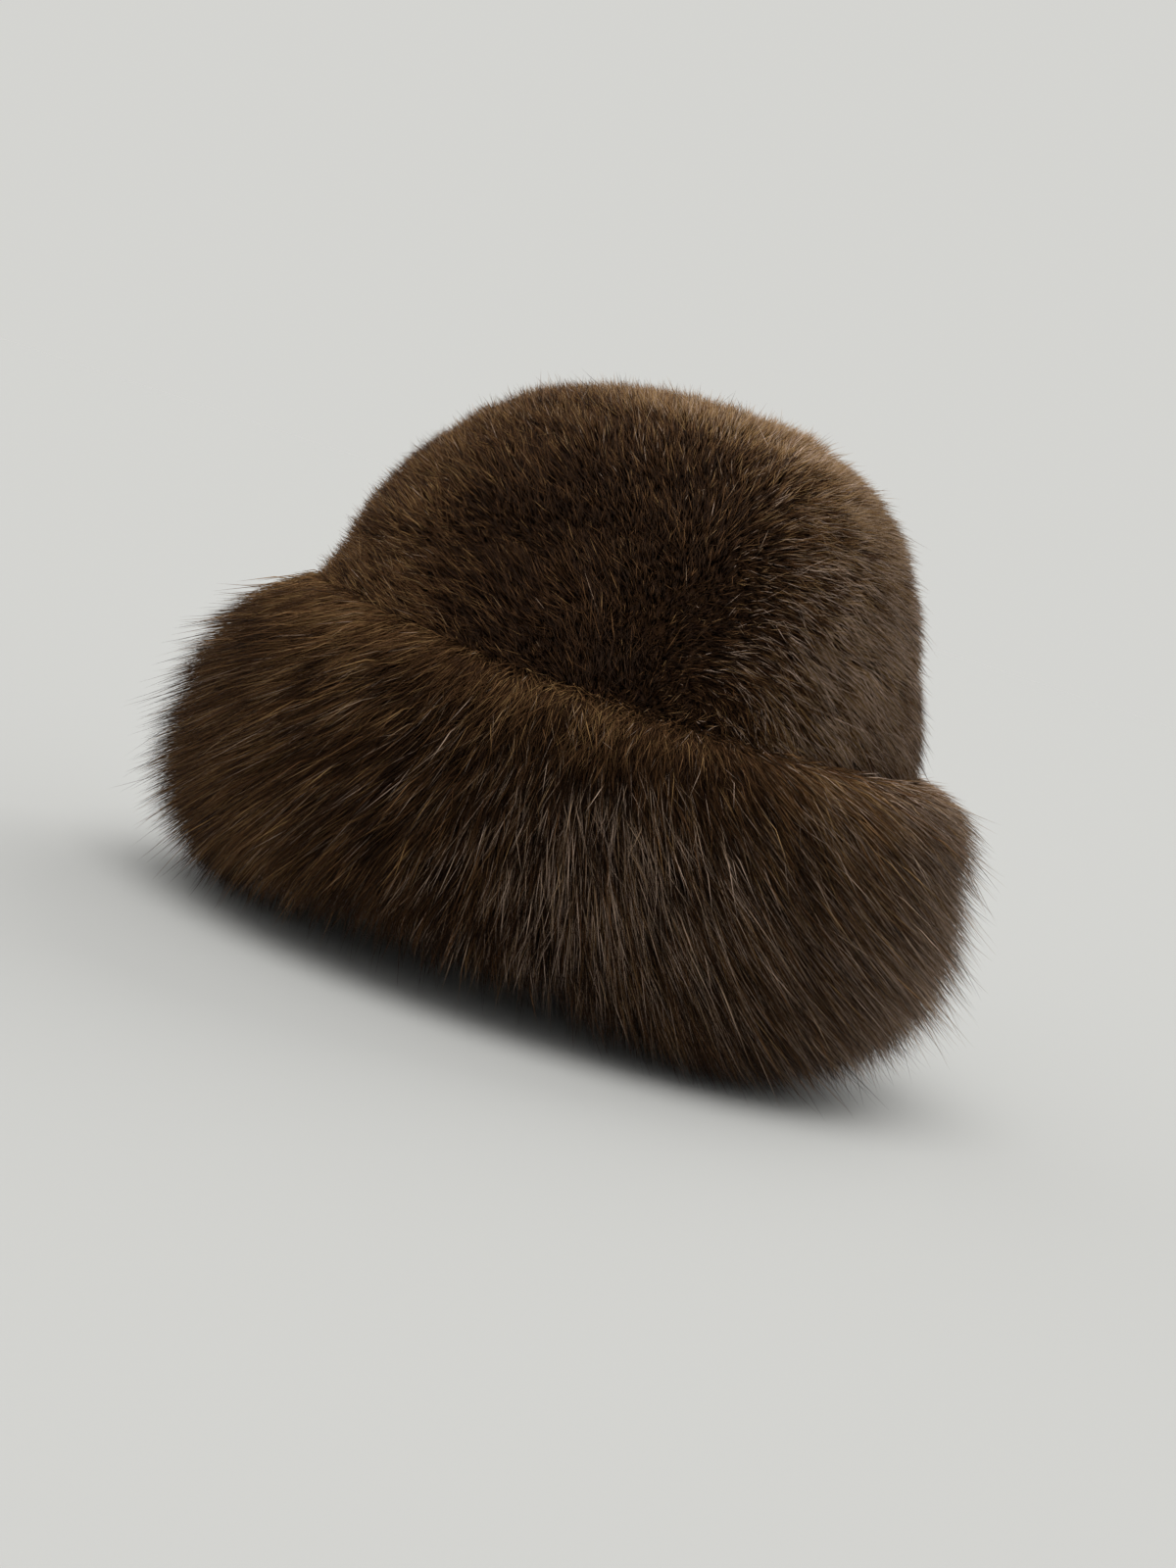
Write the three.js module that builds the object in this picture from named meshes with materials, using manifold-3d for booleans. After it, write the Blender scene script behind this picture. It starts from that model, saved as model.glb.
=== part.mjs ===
// A soft fur hat: a rounded crown of short pile, closed by an oval top panel, over a deep
// brim of long fur that stands out from the head and falls to the surface that the hat
// rests on. Millimetres, +Z up. The front of the hat faces -Y and the wearer's left is +X.
// Heights in the tables are measured from the seam between the crown and the brim.

import * as THREE from "three";
import { mergeVertices } from "three/addons/utils/BufferGeometryUtils.js";
import Module from "manifold-3d";

const wasm = await Module();
wasm.setup();

// Driving dimensions
const SEAM_HEIGHT = 115; // the crown's foot above the resting surface
const SEAM_TILT = -1.2; // degrees, the crown's foot is a little higher at the front
const SIDE_SAG = 3; // how much lower the crown's foot is over the ears
const HEM_LIFT = 10; // how much higher the brim's hem is over the ears
const CROWN_WALL = 13.5; // knitted backing and short pile together
const HALF_LENGTH = 115; // the crown's foot over the pile, front to back
const HALF_WIDTH = 96.5; // the same from side to side
const SEWN_GAP = 0.3; // between neighbouring pieces
const SEAM_VALLEY = 1.6; // how far the pile dips along the top panel's seam
const VALLEY_REACH = 0.42; // half of the dip's spread, in rows of the crown table
const STEPS_ROUND = 40; // facets round the crown and the brim
const SMALLEST_EDGE = 0.05; // shorter edges of the joined fur are drawn together

const CROWN_BROWN = 0x4a3626;
const TOP_BROWN = 0x50392a;
const BRIM_BROWN = 0x35261b;

// The crown's outer form, a row for each oval section from its foot to the top's middle.
// up and back place the section's middle, tilt raises its back edge, in degrees.
const CROWN = [
  { up: 0, back: -0.5, length: HALF_LENGTH, width: HALF_WIDTH, tilt: SEAM_TILT },
  { up: 17.5, back: 0, length: 110, width: 93, tilt: -0.2 },
  { up: 38, back: -1.5, length: 103.5, width: 88, tilt: 1.1 },
  { up: 60, back: -1.5, length: 94, width: 80.5, tilt: 2.6 },
  { up: 79, back: -3.5, length: 79, width: 68, tilt: 3.9 },
  { up: 96, back: -14, length: 59, width: 50, tilt: 8.4 },
  { up: 105, back: -11, length: 39, width: 33.5, tilt: 7.5 },
  { up: 109.8, back: -6.5, length: 19, width: 16.5, tilt: 5 },
  { up: 111.3, back: -3, length: 0, width: 0, tilt: 3 },
];
const TOP_SEAM_ROW = 5; // the row where the top panel is sewn to the side

// The brim's section: out from the lining's oval at the seam, and down from the seam.
// The first three points are the backing cloth's inner face and the rest is the fur.
const BRIM = [
  { out: 0, down: SEWN_GAP },
  { out: 3, down: 40 },
  { out: 7, down: 72 },
  { out: 10, down: 88 },
  { out: 18, down: 95 },
  { out: 26, down: 93 },
  { out: 31, down: 84 },
  { out: 33, down: 66 },
  { out: 32, down: 46 },
  { out: 30, down: 28 },
  { out: 27, down: 13 },
  { out: 21, down: 4.5 },
  { out: 13.5, down: SEWN_GAP },
];

// Rows of locks, from the brim's top edge to its hem. A lock leaves the backing at out and
// down, reaches outTip and downTip, and is thick and wide at its root.
const LOCKS = [
  { count: 26, out: 14, down: 9, outTip: 38, downTip: 15, wide: 29, thick: 13, turn: 0 },
  { count: 26, out: 16, down: 20, outTip: 43, downTip: 36, wide: 31, thick: 19, turn: 0.5 },
  { count: 27, out: 17, down: 36, outTip: 46, downTip: 61, wide: 32, thick: 22, turn: 0 },
  { count: 27, out: 18, down: 52, outTip: 47, downTip: 86, wide: 32, thick: 23, turn: 0.5 },
  { count: 26, out: 20, down: 64, outTip: 39, downTip: 111, wide: 32, thick: 21, turn: 0 },
  { count: 24, out: 14, down: 74, outTip: 21, downTip: 123, wide: 28, thick: 16, turn: 0.5 },
];
const LOCK_SIDES = 4;
const LOCK_RINGS = [0, 0.42, 0.78]; // along the lock, before its point
const LOCK_TAPER = [1, 0.92, 0.58]; // the section's size at those rings
const LOCK_SPREAD = 0.13; // how much the locks differ in length and size
const LOCK_SWAY = 6; // mm, how far a tip wanders along the brim
const FRONT_SWELL = 1.04; // the fur stands out further at the front
const BACK_SWELL = 0.98;
const HANG_BACK = 9; // mm, how far the tips of the lowest locks hang to the back

// A number from -1 to 1 that depends on its two whole numbers alone
function vary(i, j) {
  const s = Math.sin(i * 12.9898 + j * 78.233) * 43758.5453;
  return (s - Math.floor(s)) * 2 - 1;
}

// The crown table's column at a place between rows, on a smooth curve through them
function column(name, place) {
  const last = CROWN.length - 1;
  const row = Math.min(Math.floor(place), last - 1);
  const at = (k) => CROWN[THREE.MathUtils.clamp(k, 0, last)][name];
  const t = place - row;
  const [a, b, c, d] = [at(row - 1), at(row), at(row + 1), at(row + 2)];
  return (
    0.5 *
    (2 * b + (c - a) * t + (2 * a - 5 * b + 4 * c - d) * t * t + (3 * b - a - 3 * c + d) * t * t * t)
  );
}

// A point of the crown's outer form before the seam's dip
function crownForm(place, angle) {
  const tilt = THREE.MathUtils.degToRad(column("tilt", place));
  const along = Math.max(column("length", place), 0) * Math.sin(angle);
  const sag = SIDE_SAG * Math.cos(angle) ** 2 * Math.max(0, 1 - place);
  return new THREE.Vector3(
    Math.max(column("width", place), 0) * Math.cos(angle),
    column("back", place) + along * Math.cos(tilt),
    SEAM_HEIGHT + column("up", place) + along * Math.sin(tilt) - sag,
  );
}

// The crown's outward direction, which lies in the seam's plane at its foot
function crownNormal(place, angle) {
  const step = 0.01;
  const topmost = CROWN.length - 1 - 2 * step;
  const low = Math.min(Math.max(place, step), topmost);
  const up = crownForm(low + step, angle).sub(crownForm(low - step, angle));
  const round = crownForm(low, angle + step).sub(crownForm(low, angle - step));
  const normal = round.cross(up).normalize();
  const level = Math.max(0, 1 - place);
  const flat = new THREE.Vector3(
    Math.cos(angle) / HALF_WIDTH,
    Math.sin(angle) / HALF_LENGTH,
    0,
  ).normalize();
  flat.applyAxisAngle(new THREE.Vector3(1, 0, 0), THREE.MathUtils.degToRad(SEAM_TILT));
  return normal.lerp(flat, level).normalize();
}

// Outer and inner points of the crown's wall, with the pile dipping at the top panel's seam
function crownWall(place, angle) {
  const normal = crownNormal(place, angle);
  const form = crownForm(place, angle);
  const off = (place - TOP_SEAM_ROW) / VALLEY_REACH;
  const dip = SEAM_VALLEY * Math.exp(-off * off);
  return {
    outer: form.clone().addScaledVector(normal, -dip),
    inner: form.clone().addScaledVector(normal, -CROWN_WALL),
  };
}

// A closed surface from rings of points, each ring joined to the next and the last to the first
function ringsToGeometry(rings) {
  const positions = [];
  const corner = (i, j) => rings[(i + rings.length) % rings.length][j % STEPS_ROUND];
  for (let i = 0; i < rings.length; i++) {
    for (let j = 0; j < STEPS_ROUND; j++) {
      const [a, b] = [corner(i, j), corner(i, j + 1)];
      const [c, d] = [corner(i + 1, j + 1), corner(i + 1, j)];
      if (a.distanceTo(b) > 1e-6) positions.push(a, b, c);
      if (c.distanceTo(d) > 1e-6) positions.push(a, c, d);
    }
  }
  return new THREE.BufferGeometry().setFromPoints(positions);
}

const anglesRound = Array.from({ length: STEPS_ROUND }, (_, j) => (j / STEPS_ROUND) * 2 * Math.PI);

// A panel of the crown's wall between two places, with its outer ring first and its inner last
function crownPanel(places) {
  const walls = places.map((place) => anglesRound.map((angle) => crownWall(place, angle)));
  const outer = walls.map((ring) => ring.map((wall) => wall.outer));
  const inner = walls.map((ring) => ring.map((wall) => wall.inner)).reverse();
  return ringsToGeometry([...outer, ...inner]);
}

// The top panel is a wall of the same kind, but both of its faces run to the middle
function topPanel(places) {
  const middle = CROWN.length - 1;
  const walls = places.map((place) => anglesRound.map((angle) => crownWall(place, angle)));
  const crest = crownForm(middle, 0);
  const under = crest.clone().add(new THREE.Vector3(0, 0, -CROWN_WALL));
  const outer = walls.map((ring) => ring.map((wall) => wall.outer));
  const inner = walls.map((ring) => ring.map((wall) => wall.inner)).reverse();
  const toPoint = (point) => anglesRound.map(() => point);
  const positions = [];
  const open = [...inner, ...outer];
  for (let i = 0; i < open.length - 1; i++) {
    for (let j = 0; j < STEPS_ROUND; j++) {
      const k = (j + 1) % STEPS_ROUND;
      positions.push(open[i][j], open[i][k], open[i + 1][k]);
      positions.push(open[i][j], open[i + 1][k], open[i + 1][j]);
    }
  }
  for (const [ring, point, outward] of [
    [outer[outer.length - 1], toPoint(crest), true],
    [inner[0], toPoint(under), false],
  ]) {
    for (let j = 0; j < STEPS_ROUND; j++) {
      const [a, b] = [ring[j], ring[(j + 1) % STEPS_ROUND]];
      positions.push(...(outward ? [a, b, point[j]] : [b, a, point[j]]));
    }
  }
  return new THREE.BufferGeometry().setFromPoints(positions);
}

// How much further than at the sides the fur stands out at this angle round the brim
function swell(angle) {
  const toBack = (Math.sin(angle) + 1) / 2;
  return THREE.MathUtils.lerp(FRONT_SWELL, BACK_SWELL, toBack);
}

// A point of the brim, out from the lining's oval and down from the crown's foot
function brimPoint(angle, out, down) {
  const length = HALF_LENGTH - CROWN_WALL;
  const width = HALF_WIDTH - CROWN_WALL;
  const away = new THREE.Vector2(Math.cos(angle) / width, Math.sin(angle) / length).normalize();
  const fur = Math.max(out - CROWN_WALL, 0);
  const reach = out - fur + fur * swell(angle);
  const y = length * Math.sin(angle) + away.y * reach;
  const rise = Math.tan(THREE.MathUtils.degToRad(SEAM_TILT)) * y;
  const level = Math.max(0, 1 - down / SEAM_HEIGHT); // 1 at the seam and 0 at the hem
  const overEars = Math.cos(angle) ** 2;
  const lift = overEars * (HEM_LIFT * (1 - level) ** 1.5 - SIDE_SAG * level);
  return new THREE.Vector3(
    width * Math.cos(angle) + away.x * reach,
    CROWN[0].back + y,
    SEAM_HEIGHT - down + rise * level + lift,
  );
}

function brimBody() {
  const rings = BRIM.map(({ out, down }) => anglesRound.map((angle) => brimPoint(angle, out, down)));
  return ringsToGeometry(rings);
}

// One lock: a four-sided blade on a curve that leaves the backing outwards and falls to its tip
function lock(row, rowIndex, index) {
  const angle = ((index + row.turn) / row.count) * 2 * Math.PI;
  const size = 1 + LOCK_SPREAD * vary(index, rowIndex);
  const along = (LOCK_SWAY * vary(index + 50, rowIndex)) / HALF_LENGTH;
  const outTip = row.out + (row.outTip - row.out) * size;
  const downTip = row.down + (row.downTip - row.down) * (2 + size) / 3;
  const root = brimPoint(angle, row.out, row.down);
  const tip = brimPoint(angle + along, outTip, downTip);
  tip.y += HANG_BACK * (row.down / BRIM[2].down) ** 2;
  const shoulder = brimPoint(
    angle,
    row.out + (outTip - row.out) * 0.66,
    row.down + (downTip - row.down) * 0.34,
  );
  const curve = new THREE.QuadraticBezierCurve3(root, shoulder, tip);
  const sideways = new THREE.Vector3(-Math.sin(angle), Math.cos(angle), 0);
  const rings = LOCK_RINGS.map((t, k) => {
    const across = curve.getTangent(t).cross(sideways).normalize();
    const shrink = LOCK_TAPER[k] * size;
    return Array.from({ length: LOCK_SIDES }, (_, side) => {
      const turn = (side / LOCK_SIDES) * 2 * Math.PI;
      return curve
        .getPoint(t)
        .addScaledVector(sideways, (Math.cos(turn) * row.wide * shrink) / 2)
        .addScaledVector(across, (Math.sin(turn) * row.thick * shrink) / 2);
    });
  });
  return bladeGeometry(rings, curve.getPoint(1));
}

// A closed blade from its rings and its point
function bladeGeometry(rings, point) {
  const positions = [];
  const next = (j) => (j + 1) % LOCK_SIDES;
  for (let j = 0; j < LOCK_SIDES; j++) {
    for (let i = 0; i < rings.length - 1; i++) {
      positions.push(rings[i][j], rings[i][next(j)], rings[i + 1][next(j)]);
      positions.push(rings[i][j], rings[i + 1][next(j)], rings[i + 1][j]);
    }
    const last = rings[rings.length - 1];
    positions.push(last[j], last[next(j)], point);
  }
  for (let j = 1; j < LOCK_SIDES - 1; j++) {
    positions.push(rings[0][0], rings[0][j + 1], rings[0][j]);
  }
  return new THREE.BufferGeometry().setFromPoints(positions);
}

// A closed geometry as a solid that can be joined and cut
function toSolid(geometry) {
  const plain = geometry.clone();
  plain.deleteAttribute("normal");
  plain.deleteAttribute("uv");
  const merged = mergeVertices(plain, 1e-3);
  return new wasm.Manifold(
    new wasm.Mesh({
      numProp: 3,
      vertProperties: merged.attributes.position.array,
      triVerts: new Uint32Array(merged.index.array),
    }),
  );
}

function toGeometry(solid) {
  const mesh = solid.getMesh();
  const geometry = new THREE.BufferGeometry();
  const places = new Float32Array(mesh.numVert * 3);
  for (let i = 0; i < mesh.numVert; i++) {
    places.set(mesh.vertProperties.subarray(i * mesh.numProp, i * mesh.numProp + 3), i * 3);
  }
  geometry.setAttribute("position", new THREE.BufferAttribute(places, 3));
  geometry.setIndex(new THREE.BufferAttribute(mesh.triVerts, 1));
  geometry.computeVertexNormals();
  return geometry;
}

// The brim with its locks fused on and trimmed where they meet the resting surface
function brim() {
  let fur = toSolid(brimBody());
  LOCKS.forEach((row, rowIndex) => {
    for (let index = 0; index < row.count; index++) {
      fur = fur.add(toSolid(lock(row, rowIndex, index)));
    }
  });
  const below = new THREE.BoxGeometry(4 * HALF_LENGTH, 4 * HALF_LENGTH, SEAM_HEIGHT);
  below.translate(0, 0, -SEAM_HEIGHT / 2);
  const trimmed = fur.subtract(toSolid(below)).simplify(SMALLEST_EDGE);
  return toGeometry(withoutPockets(toSolid(toGeometry(trimmed))));
}

// The largest closed surface of a solid, without those round the pockets sealed inside it
function withoutPockets(solid) {
  return solid.decompose().reduce((a, b) => (a.volume() > b.volume() ? a : b));
}

// Moves the whole hat so that the middle of its outline's box is at x = 0 and y = 0
function centred(group) {
  const box = new THREE.Box3().setFromObject(group, true);
  const middle = box.getCenter(new THREE.Vector3());
  group.position.set(-middle.x, -middle.y, 0);
  return group;
}

function piece(name, geometry, color, roughness) {
  const material = new THREE.MeshStandardMaterial({ color, roughness, metalness: 0 });
  material.flatShading = true;
  const mesh = new THREE.Mesh(geometry, material);
  mesh.name = name;
  return mesh;
}

// Half of the sewn gap, in rows of the crown table
const halfGap =
  SEWN_GAP / 2 / crownForm(TOP_SEAM_ROW - 0.5, 0).distanceTo(crownForm(TOP_SEAM_ROW + 0.5, 0));
const sidePlaces = [0, 1, 2, 3, 4, 4.5, 4.8, TOP_SEAM_ROW - halfGap];
const topPlaces = [TOP_SEAM_ROW + halfGap, 5.25, 5.6, 6.2, 7];

const hat = new THREE.Group();
hat.add(
  piece("crown_side", crownPanel(sidePlaces), CROWN_BROWN, 0.9),
  piece("crown_top", topPanel(topPlaces), TOP_BROWN, 0.9),
  piece("brim", brim(), BRIM_BROWN, 0.85),
);

export default centred(hat);
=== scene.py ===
"""A soft fur hat on a pale studio floor.

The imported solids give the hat's size and place. Over them this script lays a backing with
dark underfur, a short dense pile on the crown and long fur in locks on the brim. Every hair
is a slim closed spike, worked out for a whole piece at once as numpy arrays. Lengths are
in millimetres until a mesh is made, and angles run round the hat from its left side (+X)
by way of its back (+Y).
"""

import math

import bpy
import numpy as np
from bpy.props import FloatProperty, FloatVectorProperty, IntProperty, PointerProperty
from mathutils import Matrix, Vector


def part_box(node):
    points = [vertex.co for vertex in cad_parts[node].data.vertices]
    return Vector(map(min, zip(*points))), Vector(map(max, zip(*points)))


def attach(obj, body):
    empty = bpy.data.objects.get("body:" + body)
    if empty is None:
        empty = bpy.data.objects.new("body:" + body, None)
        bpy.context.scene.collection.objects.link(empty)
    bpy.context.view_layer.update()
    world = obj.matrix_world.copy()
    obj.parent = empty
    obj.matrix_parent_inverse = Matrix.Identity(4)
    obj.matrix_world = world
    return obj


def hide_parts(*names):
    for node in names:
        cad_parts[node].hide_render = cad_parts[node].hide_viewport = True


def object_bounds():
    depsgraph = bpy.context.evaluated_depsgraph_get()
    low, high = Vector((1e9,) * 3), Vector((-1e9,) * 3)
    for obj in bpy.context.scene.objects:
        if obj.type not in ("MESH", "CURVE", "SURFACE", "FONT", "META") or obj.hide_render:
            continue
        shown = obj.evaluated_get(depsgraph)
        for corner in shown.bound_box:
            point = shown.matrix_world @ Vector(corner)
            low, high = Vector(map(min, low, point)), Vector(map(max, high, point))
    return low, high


bl_info = {
    "name": "Fur Hat",
    "version": (1, 0, 0),
    "blender": (4, 5, 0),
    "location": "View3D > Sidebar > Fur Hat",
    "description": "Dresses a soft hat with a short-pile crown and a brim of long fur",
    "category": "Add Mesh",
}

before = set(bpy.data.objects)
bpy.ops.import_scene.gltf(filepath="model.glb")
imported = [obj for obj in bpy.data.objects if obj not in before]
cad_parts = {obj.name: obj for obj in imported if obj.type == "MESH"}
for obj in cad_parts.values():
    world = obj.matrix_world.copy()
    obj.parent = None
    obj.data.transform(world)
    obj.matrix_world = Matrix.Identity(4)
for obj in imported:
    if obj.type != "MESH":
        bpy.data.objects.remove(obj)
CAD_BOX = [list(corner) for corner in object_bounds()]

MM = 0.001
TURN = 2 * math.pi
RNG = np.random.default_rng(7)

# The box that every tip of the long fur keeps within: the solids' own and some room past it,
# a share of its size and a length
ROOM_SHARE, ROOM_LENGTH = 0.03, 8.0
SOLIDS_LOW, SOLIDS_HIGH = np.array(CAD_BOX) / MM
TIP_ROOM = ROOM_SHARE * (SOLIDS_HIGH - SOLIDS_LOW) + ROOM_LENGTH

# The hat's own frame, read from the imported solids
SIDE_LOW, SIDE_HIGH = (np.array(corner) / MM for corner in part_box("crown_side"))
BRIM_HIGH = np.array(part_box("brim")[1]) / MM
HALF_WIDTH, HALF_LENGTH = (SIDE_HIGH - SIDE_LOW)[:2] / 2
MIDDLE = (SIDE_HIGH + SIDE_LOW)[:2] / 2
SEAM_DEGREES = -1.2
SEAM_TILT = math.radians(SEAM_DEGREES)
SEWN_GAP = 0.3
SEAM_HEIGHT = BRIM_HIGH[2] + SEWN_GAP + math.tan(SEAM_TILT) * HALF_LENGTH
SIDE_SAG = 3.0  # how much lower the crown's foot is over the ears

# The crown's outer form, a row for each oval section from its foot to the top's middle, with
# its height over the foot, its shift to the back, its half-axes and its tilt in degrees
CROWN_COLUMNS = ("up", "back", "length", "width", "tilt")
CROWN = np.array([
    (0, 0, HALF_LENGTH, HALF_WIDTH, SEAM_DEGREES),
    (17.5, 0.5, 110, 93, -0.2),
    (38, -1, 103.5, 88, 1.1),
    (60, -1, 94, 80.5, 2.6),
    (79.5, -3.2, 79.5, 68.5, 5.4),
    (94.5, -12.3, 60.5, 51, 9.6),
    (101.5, -10, 39.5, 34, 7.4),
    (105.4, -6, 19, 16.5, 5),
    (107, -2.5, 0, 0, 3),
])
TOP_SEAM = 5.0  # the row where the top panel is sewn to the side
TOP_ROW = len(CROWN) - 1.0
SEAM_DIP = 1.8  # how deep the pile dips along the top panel's seam
DIP_REACH = 0.3  # how many rows the dip reaches to each side
DIP_WALL = 1.5  # how thick the wall stays under the dip
CROWN_WALL = 13.5
PILE_DEPTH = 6.0  # from the pile's outer form down to the underfur
PILE_ROOT = PILE_DEPTH + 0.6  # and to the pile's roots, sunk in it

# How much higher than its lowest the brim's hem is, how much the fur along the brim's top
# rises, and how much further out it stands just below, by the angle's sine from front to back
HEM_LIFT = {
    -1.0: 5, -0.9: 10, -0.7: 15, -0.45: 18, 0.0: 17, 0.2: 15, 0.42: 8,
    0.6: 3, 0.8: 4, 0.9: 9, 0.97: 14, 1.0: 13,
}
EDGE_PERK = {-1.0: -5.5, 0.0: 0, 1.0: 3}
EDGE_REACH = {-1.0: -4, -0.5: -1, 0.0: 0, 1.0: 3}
EDGE_AT, EDGE_SPAN = 13, 9  # how far down from the seam the further reach is, and its spread
REACH_OUT, PERK_OUT = 20, 10  # how far out from the crown's wall each comes to be felt
PERK_DOWN = 30  # how far down from the seam the rise ends
HEM_POWER = 1.5  # how late on the way down to the hem its lift comes
FRONT_SWELL, BACK_SWELL = 1.04, 0.97  # how much wider the brim is than its table

# The brim's fur, a row for each level of roots on the backing, from the seam round the hem.
# Each row gives a hair's root, the bend in its curve and its tip: out from the oval of the
# crown's opening and down from the seam.
LAY_PARTS = ("root", "bend", "tip")
LAY = np.array([
    ((5, 1), (11, -4), (16.5, -1.5)),
    ((5, 2), (15, -4), (26, 3)),
    ((5, 5), (22, -2), (35, 9)),
    ((5, 12), (28, 4), (40, 19)),
    ((5, 22), (31, 14), (43, 33)),
    ((5.5, 34), (33, 28), (46.5, 50)),
    ((6, 46), (34, 44), (48, 66)),
    ((7, 58), (33, 60), (46.5, 82)),
    ((8, 69), (30, 76), (41, 96)),
    ((9, 78), (25, 91), (32, 108)),
    ((10, 85), (18, 100), (20, 116)),
    ((8, 88), (12, 102), (10, 120)),
    ((5, 86), (6, 100), (3, 119)),
])
BACKING_FACE = [(0.4, 0.8), (2, 22), (4, 44), (6.5, 66), (8, 82)]  # out, down inside the brim
UNDERFUR_AT = 0.5  # where along a hair the dense underfur ends
UNDERFUR_TOP = 0.8  # how far below the seam the underfur starts
UNDERFUR_LOW = 1.0  # how far above the floor the brim's backing stays

# Locks of fur on the brim, in cells round it and down it. A lock draws its hairs' tips
# together by draw, its tone differs by tone and its lie by sway.
LOCKS = [
    {"around": 88, "down": 9, "draw": 0.36, "tone": 0.1, "sway": 5.0},
    {"around": 300, "down": 20, "draw": 0.68, "tone": 0.17, "sway": 3.0},
]
LOCK_SCATTER = 0.46  # how far a lock may lie from the middle of its cell
LOCK_STRETCH = 0.9  # how much a distance down the brim counts against one round it
LOCK_SEED = 210
# How far the hanging fur leans to the back for each length that it falls, by the angle's sine
LEAN = {-1.0: 0.0, -0.4: 0.0, 0.0: 0.15, 0.35: 0.55, 0.7: 1.35, 1.0: 1.7}

# The way that the crown's pile is brushed on each part, over an upright hair of length one
COMB = {
    "front": np.array([0.0, -0.45, 0.30]),
    "middle": np.array([0.0, 0.0, 1.4]),
    "back": np.array([0.0, 0.75, -0.4]),
    "back_low": np.array([0.0, 0.8, -1.0]),
}
STRAY, STRAY_BACK = 0.22, 0.08  # how much a hair of the pile strays from that, and at the back
UNEVEN = (-2.6, 3.2)  # how much shorter or longer the pile's hairs are
FUZZ_SHARE, FUZZ_MORE = 0.07, (0.5, 3.5)  # the share of them that stand out, and how far
PILE_LEAST, PILE_BULGE = 2.0, 0.8  # their least height, and how far their middle bends out

# The long fur's reach, as a share of the table's: its middle, its spread and its limits, and
# the share of guard hairs that reach further, by how much, and how much more at the hem
REACH_MIDDLE, REACH_SPREAD, REACH_LIMITS = -0.06, 0.13, (-0.4, 0.12)
LONG_SHARE, LONG_MORE, LONG_HEM = 0.6, 0.28, 0.24
HAIR_SWAY = 2.4  # how far aside a hair's tip lies from its neighbours' before the locks
TIP_STRAY = {False: 3.1, True: 3.8}  # how far it strays at the end, for fine and guard hairs
BEND_STRAY = 2.4
OVER_FLOOR, FLOOR_SPREAD, BEND_OVER = 0.4, 1.6, 2.0  # tips keep over the floor, bends higher

# Where each part of the hat begins and where it is full: along Y, for the crown's low part,
# top and crest over the seam, and for the last five in levels of the brim's fur
ZONES = {
    "comb_back": (-30, 70), "comb_low": (80, 20),
    "pile_back": (-5, 80), "pile_front": (-30, -95), "pile_top": (60, 100), "crest": (93, 103),
    "fur_front": (-10, -110), "fur_back": (0, 110), "rim": (80, 120),
    "gather": (0.08, 0.3), "edge": (0.33, 0.13), "below_edge": (0.28, 0.4),
    "hem": (0.55, 0.85), "low_guard": (0.72, 0.9),
}
# Noises over the hat: how large their lumps are, how strong they are, and their seed
NOISES = {
    "pile_eddy": (14.0, 0.4, 1), "pile_tuft": (3.2, 0.34, 11), "pile_height": (6.0, 0.8, 5),
    "pile_patch": (30.0, 0.08, 7), "pile_mottle": (5.0, 0.12, 8), "pile_strand": (2.2, 1.0, 9),
    "lock_around": (15.0, 1 / 96, 201), "lock_down": (15.0, 0.7 / 11, 202),
    "fur_drift": (26.0, 4.5, 204), "fur_eddy": (7.0, 4.6, 205), "fur_patch": (36.0, 0.12, 206),
    "fur_mottle": (7.0, 0.1, 207), "fur_edge": (12.0, 0.05, 208),
    "lumps": (9.0, 1.0, 0), "small_lumps": (3.5, 0.5, 1),
}

# The hairs' tones, from 0 for the darkest to 1 for the palest: the least, what each part of
# the crown or brim adds, and how much one hair differs from the next. What the crown's back,
# front, top and crest add is painted sheen and rim light, and what the brim's edge adds is
# partly its own colour and partly painted light from above
PILE_TONE_AND_LIGHT = {"least": 0.01, "back": 0.36, "front": 0.31, "top": 0.24, "crest": 0.22, "own": 0.22}
FUR_TONE_AND_LIGHT = {
    "least": 0.19, "edge": 0.26, "front": 0.12, "back": 0.08,
    "middle": 0.08, "hem": 0.09, "own": 0.22,
}
# The share of pale hairs in each part: on the crown they are painted sheen and rim light,
# and on the brim partly pale hairs of their own and partly painted glints and rim light
PILE_PALE_AND_SHEEN = {"back": 0.6, "strand": 1.2, "top": 0.05, "crest": 0.2}
FUR_PALE_AND_GLINTS = {"least": 0.05, "middle": 0.32, "back": 0.28, "hem": 0.03, "rim": 0.45}
MIDDLE_AT, MIDDLE_SPAN = 0.12, 0.3  # the middle of each side and its spread, by the sine
# Where along the tone each colour stands
TONE_STOPS = {
    "darkest": 0.0, "brown": 0.29, "russet": 0.48, "warm": 0.68, "grey": 0.82, "silver": 1.0,
}

# How fine the meshes are: facets round the backings and the floor, rings of each backing,
# and the cells over which the hairs' roots are spread
BACKING_AROUND = 120
FLOOR_AROUND = 96
SIDE_RINGS, TOP_RINGS, CLOTH_RINGS, UNDERFUR_RINGS = 34, 18, 12, 40
PILE_CELLS, FUR_CELLS = 160, 200
# In rows of the crown: from the top's seam to each backing's edge, and from the top's middle
# to the backing's last ring and to the pile's last root
SEAM_SPLIT = 0.01
BACKING_STOP, PILE_STOP = 0.06, 0.02

UV_MAP = "OFBake"
UV_EDGE, UV_SPAN, UV_HAIR = 0.01, 0.97, 0.012  # the map's margin, its use and a hair's width

FLOOR_RADII = (30000.0, 3000.0, 600.0)
LAMP_TINT = (1.0, 1.0, 0.965)
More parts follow.
